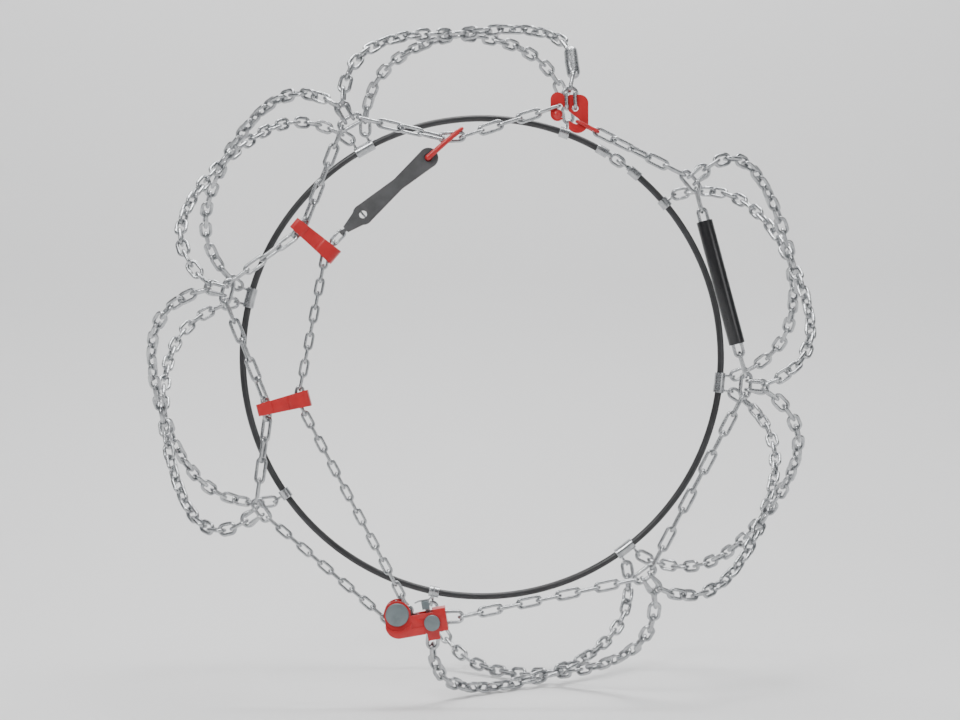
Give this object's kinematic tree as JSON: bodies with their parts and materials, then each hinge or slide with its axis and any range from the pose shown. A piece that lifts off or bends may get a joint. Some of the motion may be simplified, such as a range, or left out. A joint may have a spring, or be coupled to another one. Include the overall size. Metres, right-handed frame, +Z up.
{
  "type": "tire snow chain",
  "caption": "Ladderless diamond-pattern snow chain fitted round a tyre, with a ratchet tensioner, closing hook, rubber tensioner and inner cable hoop.",
  "frame": {"origin": "centre of the wheel that the chain fits, on the wheel axle and in the tyre's middle plane", "axes": "+Y along the wheel axle towards the vehicle, -Y towards the outer face, +Z up, +X to the right seen from outside"},
  "size_m": [0.7314, 0.2728, 0.7372],
  "materials": {
    "zinc_steel": "bright zinc plated",
    "red_paint": "satin powder coat",
    "red_plastic": "satin moulded",
    "grey_metal": "satin",
    "strap_rubber": "matt moulded",
    "black_plastic": "slightly glossy tube",
    "cable_sheath": "satin sheath"
  },
  "bodies": {
    "net": {"top_run": "zinc_steel", "closing_run": "zinc_steel", "sleeved_run": "zinc_steel", "right_run": "zinc_steel", "bottom_run": "zinc_steel", "left_run": "zinc_steel", "upper_left_run": "zinc_steel", "closing_link": "red_paint", "closing_hook_plate": "red_paint", "closing_hook_rivet": "red_paint", "junction_links": "zinc_steel", "cross_hooks": "zinc_steel", "tread_rings": "zinc_steel", "tension_chain": "zinc_steel", "tension_strap": "strap_rubber", "strap_pin": "zinc_steel", "ratchet_body": "red_paint", "ratchet_cover": "red_paint", "pulley_rivet": "grey_metal", "pawl_rivet": "grey_metal", "pawl_spring": "zinc_steel", "ratchet_ring": "zinc_steel", "ratchet_pins": "zinc_steel", "hoop_cable": "cable_sheath", "hoop_clips": "zinc_steel", "hoop_ferrules": "zinc_steel", "coupler_eye": "zinc_steel", "coupler_hook": "zinc_steel"},
    "pulley": {"ratchet_pulley": "zinc_steel"},
    "pawl": {"pawl": "zinc_steel", "release_lever": "grey_metal", "release_wire": "zinc_steel"},
    "tensioner_hook": {"strap_hook": "red_paint"},
    "lower_guide": {"lower_guide": "red_plastic"},
    "upper_guide": {"upper_guide": "red_plastic"},
    "sleeve": {"chain_sleeve": "black_plastic"},
    "outer_strand_01": {"outer_strand_01": "zinc_steel"},
    "outer_strand_02": {"outer_strand_02": "zinc_steel"},
    "outer_strand_03": {"outer_strand_03": "zinc_steel"},
    "outer_strand_04": {"outer_strand_04": "zinc_steel"},
    "outer_strand_05": {"outer_strand_05": "zinc_steel"},
    "outer_strand_06": {"outer_strand_06": "zinc_steel"},
    "outer_strand_07": {"outer_strand_07": "zinc_steel"},
    "outer_strand_08": {"outer_strand_08": "zinc_steel"},
    "outer_strand_09": {"outer_strand_09": "zinc_steel"},
    "outer_strand_10": {"outer_strand_10": "zinc_steel"},
    "outer_strand_11": {"outer_strand_11": "zinc_steel"},
    "outer_strand_12": {"outer_strand_12": "zinc_steel"},
    "inner_strand_01": {"inner_strand_01": "zinc_steel"},
    "inner_strand_02": {"inner_strand_02": "zinc_steel"},
    "inner_strand_03": {"inner_strand_03": "zinc_steel"},
    "inner_strand_04": {"inner_strand_04": "zinc_steel"},
    "inner_strand_05": {"inner_strand_05": "zinc_steel"},
    "inner_strand_06": {"inner_strand_06": "zinc_steel"},
    "inner_strand_07": {"inner_strand_07": "zinc_steel"},
    "inner_strand_08": {"inner_strand_08": "zinc_steel"},
    "inner_strand_09": {"inner_strand_09": "zinc_steel"},
    "inner_strand_10": {"inner_strand_10": "zinc_steel"},
    "inner_strand_11": {"inner_strand_11": "zinc_steel"},
    "inner_strand_12": {"inner_strand_12": "zinc_steel"}
  },
  "joints": [
    {"name": "pulley_spin", "type": "hinge", "parent": "net", "child": "pulley", "pos_m": [-0.0886, -0.131, -0.2695], "axis": [0, 1, 0], "continuous": true},
    {"name": "pawl_release", "type": "hinge", "parent": "net", "child": "pawl", "pos_m": [-0.05219, -0.131, -0.27791], "axis": [0, 1, 0], "range_deg": [0, 12], "deforming": ["pawl_spring"]},
    {"name": "strap_stretch", "type": "slide", "parent": "net", "child": "tensioner_hook", "axis": [0.7554, 0, 0.6553], "range_m": [0, 0.012], "deforming": ["tension_strap"]},
    {"name": "lower_guide_twist", "type": "hinge", "parent": "net", "child": "lower_guide", "pos_m": [-0.20925, -0.126, -0.05025], "axis": [0.9633, 0, 0.2685], "range_deg": [-6, 6]},
    {"name": "upper_guide_twist", "type": "hinge", "parent": "net", "child": "upper_guide", "pos_m": [-0.17675, -0.126, 0.123], "axis": [0.7869, 0, -0.6171], "range_deg": [-6, 6]},
    {"name": "sleeve_slide", "type": "slide", "parent": "net", "child": "sleeve", "axis": [0.2573, 0, -0.9663], "range_m": [-0.004, 0.004]},
    {"name": "outer_strand_01_swing", "type": "hinge", "parent": "net", "child": "outer_strand_01", "pos_m": [-0.14651, -0.1219, 0.26741], "axis": [-0.5975, -0.6252, -0.5021], "range_deg": [-3, 3]},
    {"name": "inner_strand_01_swing", "type": "hinge", "parent": "net", "child": "inner_strand_01", "pos_m": [-0.13788, 0.122, 0.2643], "axis": [0.5627, -0.6355, 0.5287], "range_deg": [-3, 3]},
    {"name": "outer_strand_02_swing", "type": "hinge", "parent": "net", "child": "outer_strand_02", "pos_m": [0.09264, -0.1219, 0.28188], "axis": [0.6233, -0.6462, -0.4403], "range_deg": [-3, 3]},
    {"name": "inner_strand_02_swing", "type": "hinge", "parent": "net", "child": "inner_strand_02", "pos_m": [0.10293, 0.122, 0.27976], "axis": [-0.6583, -0.6149, 0.4343], "range_deg": [-3, 3]},
    {"name": "outer_strand_03_swing", "type": "hinge", "parent": "net", "child": "outer_strand_03", "pos_m": [0.2359, -0.1219, 0.19865], "axis": [-0.5976, -0.65, 0.4694], "range_deg": [-3, 3]},
    {"name": "inner_strand_03_swing", "type": "hinge", "parent": "net", "child": "inner_strand_03", "pos_m": [0.22802, 0.122, 0.19201], "axis": [0.6382, -0.6349, -0.4355], "range_deg": [-3, 3]},
    {"name": "outer_strand_04_swing", "type": "hinge", "parent": "net", "child": "outer_strand_04", "pos_m": [0.29853, -0.1219, -0.02879], "axis": [-0.278, -0.6437, -0.713], "range_deg": [-3, 3]},
    {"name": "inner_strand_04_swing", "type": "hinge", "parent": "net", "child": "inner_strand_04", "pos_m": [0.29724, 0.122, -0.02261], "axis": [0.2913, -0.6574, 0.6949], "range_deg": [-3, 3]},
    {"name": "outer_strand_05_swing", "type": "hinge", "parent": "net", "child": "outer_strand_05", "pos_m": [0.29787, -0.1219, -0.03495], "axis": [-0.1136, -0.6385, 0.7612], "range_deg": [-3, 1]},
    {"name": "inner_strand_05_swing", "type": "hinge", "parent": "net", "child": "inner_strand_05", "pos_m": [0.29531, 0.122, -0.04072], "axis": [0.1301, -0.6522, -0.7468], "range_deg": [-3, 1]},
    {"name": "outer_strand_06_swing", "type": "hinge", "parent": "net", "child": "outer_strand_06", "pos_m": [0.18632, -0.1219, -0.24389], "axis": [-0.6938, -0.6424, -0.3256], "range_deg": [-3, 1]},
    {"name": "inner_strand_06_swing", "type": "hinge", "parent": "net", "child": "inner_strand_06", "pos_m": [0.18577, 0.122, -0.23313], "axis": [0.7088, -0.6509, 0.2718], "range_deg": [-3, 1]},
    {"name": "outer_strand_07_swing", "type": "hinge", "parent": "net", "child": "outer_strand_07", "pos_m": [0.18136, -0.1219, -0.2476], "axis": [0.5255, -0.6317, 0.5699], "range_deg": [-1, 3]},
    {"name": "inner_strand_07_swing", "type": "hinge", "parent": "net", "child": "inner_strand_07", "pos_m": [0.1712, 0.122, -0.24404], "axis": [-0.4797, -0.6406, -0.5996], "range_deg": [-1, 3]},
    {"name": "outer_strand_08_swing", "type": "hinge", "parent": "net", "child": "outer_strand_08", "pos_m": [-0.05095, -0.131, -0.28952], "axis": [-0.6473, -0.6755, 0.3531], "range_deg": [-1, 3]},
    {"name": "inner_strand_08_swing", "type": "hinge", "parent": "net", "child": "inner_strand_08", "pos_m": [-0.05943, 0.122, -0.29212], "axis": [0.7025, -0.6248, -0.3408], "range_deg": [-1, 3]},
    {"name": "outer_strand_09_swing", "type": "hinge", "parent": "net", "child": "outer_strand_09", "pos_m": [-0.24996, -0.1219, -0.17372], "axis": [0.5602, -0.6274, -0.5409], "range_deg": [-3, 3]},
    {"name": "inner_strand_09_swing", "type": "hinge", "parent": "net", "child": "inner_strand_09", "pos_m": [-0.24479, 0.122, -0.17013], "axis": [-0.5868, -0.6161, 0.5254], "range_deg": [-3, 3]},
    {"name": "outer_strand_10_swing", "type": "hinge", "parent": "net", "child": "outer_strand_10", "pos_m": [-0.28931, -0.1219, 0.07108], "axis": [0.3685, -0.623, 0.69], "range_deg": [-3, 3]},
    {"name": "inner_strand_10_swing", "type": "hinge", "parent": "net", "child": "inner_strand_10", "pos_m": [-0.29086, 0.122, 0.06528], "axis": [-0.3689, -0.638, -0.6759], "range_deg": [-3, 3]},
    {"name": "outer_strand_11_swing", "type": "hinge", "parent": "net", "child": "outer_strand_11", "pos_m": [-0.28777, -0.1219, 0.07709], "axis": [0.0213, -0.642, -0.7664], "range_deg": [-3, 2]},
    {"name": "inner_strand_11_swing", "type": "hinge", "parent": "net", "child": "inner_strand_11", "pos_m": [-0.28634, 0.122, 0.08292], "axis": [-0.0295, -0.6574, 0.7529], "range_deg": [-3, 2]},
    {"name": "outer_strand_12_swing", "type": "hinge", "parent": "net", "child": "outer_strand_12", "pos_m": [-0.15192, -0.1219, 0.26438], "axis": [0.7325, -0.6463, 0.2136], "range_deg": [-3, 2]},
    {"name": "inner_strand_12_swing", "type": "hinge", "parent": "net", "child": "inner_strand_12", "pos_m": [-0.15376, 0.122, 0.25539], "axis": [-0.7358, -0.6561, -0.1675], "range_deg": [-3, 2]}
  ],
  "couplings": [
    {"joint": "inner_strand_01_swing", "follows": "outer_strand_01_swing", "ratio": 1},
    {"joint": "outer_strand_02_swing", "follows": "outer_strand_01_swing", "ratio": 1},
    {"joint": "inner_strand_02_swing", "follows": "outer_strand_01_swing", "ratio": 1},
    {"joint": "inner_strand_03_swing", "follows": "outer_strand_03_swing", "ratio": 1},
    {"joint": "outer_strand_04_swing", "follows": "outer_strand_03_swing", "ratio": 1},
    {"joint": "inner_strand_04_swing", "follows": "outer_strand_03_swing", "ratio": 1},
    {"joint": "inner_strand_05_swing", "follows": "outer_strand_05_swing", "ratio": 1},
    {"joint": "outer_strand_06_swing", "follows": "outer_strand_05_swing", "ratio": 1},
    {"joint": "inner_strand_06_swing", "follows": "outer_strand_05_swing", "ratio": 1},
    {"joint": "inner_strand_07_swing", "follows": "outer_strand_07_swing", "ratio": 1},
    {"joint": "outer_strand_08_swing", "follows": "outer_strand_07_swing", "ratio": 1},
    {"joint": "inner_strand_08_swing", "follows": "outer_strand_07_swing", "ratio": 1},
    {"joint": "inner_strand_09_swing", "follows": "outer_strand_09_swing", "ratio": 1},
    {"joint": "outer_strand_10_swing", "follows": "outer_strand_09_swing", "ratio": 1},
    {"joint": "inner_strand_10_swing", "follows": "outer_strand_09_swing", "ratio": 1},
    {"joint": "inner_strand_11_swing", "follows": "outer_strand_11_swing", "ratio": 1},
    {"joint": "outer_strand_12_swing", "follows": "outer_strand_11_swing", "ratio": 1},
    {"joint": "inner_strand_12_swing", "follows": "outer_strand_11_swing", "ratio": 1}
  ]
}
